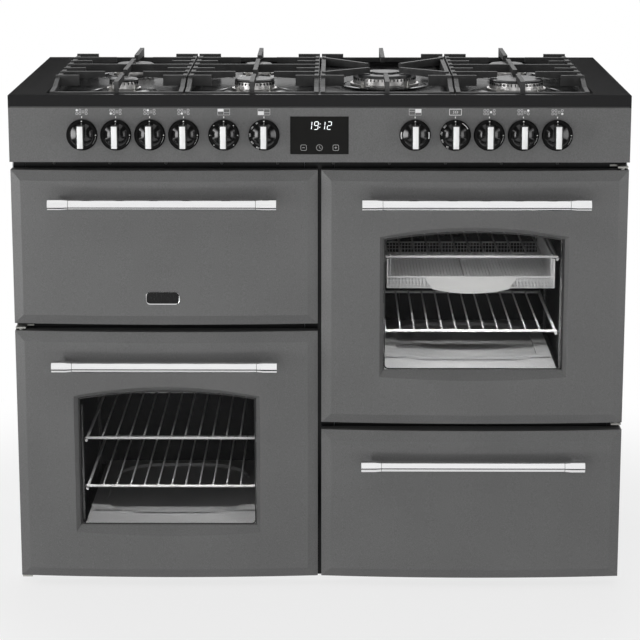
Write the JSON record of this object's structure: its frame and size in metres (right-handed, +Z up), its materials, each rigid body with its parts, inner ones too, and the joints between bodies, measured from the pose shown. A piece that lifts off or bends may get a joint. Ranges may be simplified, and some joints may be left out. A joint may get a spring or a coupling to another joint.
{
  "type": "range cooker",
  "caption": "Wide range cooker with a gas hob on cast pan supports, a grill, two side-hung ovens and a storage drawer, with a knob-lined fascia.",
  "frame": {"origin": "centre of the bounding box in plan, on the floor under the feet", "axes": "+Z up, +X to the right seen from the front, -Y out of the doors"},
  "size_m": [1.1, 0.663, 0.933],
  "materials": {
    "enamel_grey": "satin grey enamel with a fine grain",
    "enamel_black": "gloss black enamel",
    "oven_enamel": "speckled black oven enamel",
    "chrome": "polished",
    "glass": "tinted heat-reflecting glass",
    "clock_glass": "gloss black glass over a display",
    "knob_black": "gloss black with a bright grip",
    "cast_iron": "matt enamelled casting",
    "burner_aluminium": "machined and cast",
    "cap_enamel": "matt grey enamel",
    "galvanised": "galvanised sheet",
    "liner_steel": "enamelled inner sheet",
    "brass": "machined",
    "wire_chrome": "bright wire",
    "floor_plate": "satin pale plate",
    "seal": "matt braided seal",
    "element": "heat-darkened sheath",
    "switch_plastic": "pale moulding",
    "black_plastic": "moulded",
    "bracket_steel": "zinc plated"
  },
  "bodies": {
    "knob_1": {"knob_1": "knob_black"},
    "knob_2": {"knob_2": "knob_black"},
    "knob_3": {"knob_3": "knob_black"},
    "knob_4": {"knob_4": "knob_black"},
    "knob_5": {"knob_5": "knob_black"},
    "knob_6": {"knob_6": "knob_black"},
    "knob_7": {"knob_7": "knob_black"},
    "knob_8": {"knob_8": "knob_black"},
    "knob_9": {"knob_9": "knob_black"},
    "knob_10": {"knob_10": "knob_black"},
    "knob_11": {"knob_11": "knob_black"},
    "grill_door": {"grill_door_panel": "enamel_grey", "grill_door_liner": "liner_steel", "grill_door_handle": "chrome"},
    "main_door": {"main_door_panel": "enamel_grey", "main_door_glass": "glass", "main_door_liner": "liner_steel", "main_door_handle": "chrome"},
    "right_door": {"right_door_panel": "enamel_grey", "right_door_glass": "glass", "right_door_liner": "liner_steel", "right_door_handle": "chrome"},
    "drawer": {"drawer_front": "enamel_grey", "drawer_box": "galvanised", "drawer_handle": "chrome"},
    "fan": {"fan_wheel": "element"},
    "pan_support_1": {"pan_support_1": "cast_iron"},
    "foot_1": {"foot_1": "black_plastic"},
    "pan_support_2": {"pan_support_2": "cast_iron"},
    "foot_2": {"foot_2": "black_plastic"},
    "pan_support_3": {"pan_support_3": "cast_iron"},
    "foot_3": {"foot_3": "black_plastic"},
    "pan_support_4": {"pan_support_4": "cast_iron"},
    "foot_4": {"foot_4": "black_plastic"},
    "root": {"side_panel_left": "galvanised", "side_panel_right": "galvanised", "back_panel": "galvanised", "base_pan": "galvanised", "front_frame": "enamel_black", "fascia": "enamel_grey", "clock_glass": "clock_glass", "gas_taps": "brass", "oven_switches": "switch_plastic", "hob_top": "enamel_black", "burner_bodies": "burner_aluminium", "burner_caps": "cap_enamel", "grill_cavity": "oven_enamel", "heating_elements": "element", "grill_pan": "oven_enamel", "main_oven_cavity": "oven_enamel", "right_oven_cavity": "oven_enamel", "oven_shelves": "wire_chrome", "oven_floor_trays": "floor_plate", "air_fry_basket": "wire_chrome", "fan_motor": "oven_enamel", "door_seals": "seal", "hinge_brackets": "bracket_steel", "drawer_rails": "bracket_steel", "gas_inlet": "brass", "terminal_box": "black_plastic"}
  },
  "joints": [
    {"name": "knob_1_turn", "type": "hinge", "parent": "root", "child": "knob_1", "pos_m": [-0.42, -0.2685, 0.841], "axis": [0, -1, 0], "range_deg": [0, 210]},
    {"name": "knob_2_turn", "type": "hinge", "parent": "root", "child": "knob_2", "pos_m": [-0.36, -0.2685, 0.841], "axis": [0, -1, 0], "range_deg": [0, 210]},
    {"name": "knob_3_turn", "type": "hinge", "parent": "root", "child": "knob_3", "pos_m": [-0.3, -0.2685, 0.841], "axis": [0, -1, 0], "range_deg": [0, 210]},
    {"name": "knob_4_turn", "type": "hinge", "parent": "root", "child": "knob_4", "pos_m": [-0.24, -0.2685, 0.841], "axis": [0, -1, 0], "range_deg": [0, 210]},
    {"name": "knob_5_turn", "type": "hinge", "parent": "root", "child": "knob_5", "pos_m": [-0.169, -0.2685, 0.841], "axis": [0, -1, 0], "range_deg": [-270, 0]},
    {"name": "knob_6_turn", "type": "hinge", "parent": "root", "child": "knob_6", "pos_m": [-0.098, -0.2685, 0.841], "axis": [0, -1, 0], "range_deg": [-270, 0]},
    {"name": "knob_7_turn", "type": "hinge", "parent": "root", "child": "knob_7", "pos_m": [0.169, -0.2685, 0.841], "axis": [0, -1, 0], "range_deg": [-270, 0]},
    {"name": "knob_8_turn", "type": "hinge", "parent": "root", "child": "knob_8", "pos_m": [0.24, -0.2685, 0.841], "axis": [0, -1, 0], "range_deg": [-270, 0]},
    {"name": "knob_9_turn", "type": "hinge", "parent": "root", "child": "knob_9", "pos_m": [0.3, -0.2685, 0.841], "axis": [0, -1, 0], "range_deg": [0, 210]},
    {"name": "knob_10_turn", "type": "hinge", "parent": "root", "child": "knob_10", "pos_m": [0.36, -0.2685, 0.841], "axis": [0, -1, 0], "range_deg": [0, 210]},
    {"name": "knob_11_turn", "type": "hinge", "parent": "root", "child": "knob_11", "pos_m": [0.42, -0.2685, 0.841], "axis": [0, -1, 0], "range_deg": [0, 210]},
    {"name": "grill_door_drop", "type": "hinge", "parent": "root", "child": "grill_door", "pos_m": [-0.27665, -0.2565, 0.51], "axis": [1, 0, 0], "range_deg": [0, 90]},
    {"name": "main_door_swing", "type": "hinge", "parent": "root", "child": "main_door", "pos_m": [-0.54, -0.2495, 0.019], "axis": [0, 0, -1], "range_deg": [0, 110]},
    {"name": "right_door_swing", "type": "hinge", "parent": "root", "child": "right_door", "pos_m": [0.54, -0.2495, 0.313], "axis": [0, 0, 1], "range_deg": [0, 110]},
    {"name": "drawer_slide", "type": "slide", "parent": "root", "child": "drawer", "axis": [0, -1, 0], "range_m": [0, 0.38]},
    {"name": "fan_spin", "type": "hinge", "parent": "root", "child": "fan", "pos_m": [0.27665, 0.1998, 0.5615], "axis": [0, -1, 0], "continuous": true},
    {"name": "pan_support_1_lift", "type": "slide", "parent": "root", "child": "pan_support_1", "axis": [0, 0, 1], "range_m": [0, 0.08]},
    {"name": "pan_support_2_lift", "type": "slide", "parent": "root", "child": "pan_support_2", "axis": [0, 0, 1], "range_m": [0, 0.08]},
    {"name": "pan_support_3_lift", "type": "slide", "parent": "root", "child": "pan_support_3", "axis": [0, 0, 1], "range_m": [0, 0.08]},
    {"name": "pan_support_4_lift", "type": "slide", "parent": "root", "child": "pan_support_4", "axis": [0, 0, 1], "range_m": [0, 0.08]},
    {"name": "foot_1_screw", "type": "slide", "parent": "root", "child": "foot_1", "axis": [0, 0, 1], "range_m": [-0.015, 0]},
    {"name": "foot_2_screw", "type": "slide", "parent": "root", "child": "foot_2", "axis": [0, 0, 1], "range_m": [-0.015, 0]},
    {"name": "foot_3_screw", "type": "slide", "parent": "root", "child": "foot_3", "axis": [0, 0, 1], "range_m": [-0.015, 0]},
    {"name": "foot_4_screw", "type": "slide", "parent": "root", "child": "foot_4", "axis": [0, 0, 1], "range_m": [-0.015, 0]}
  ]
}
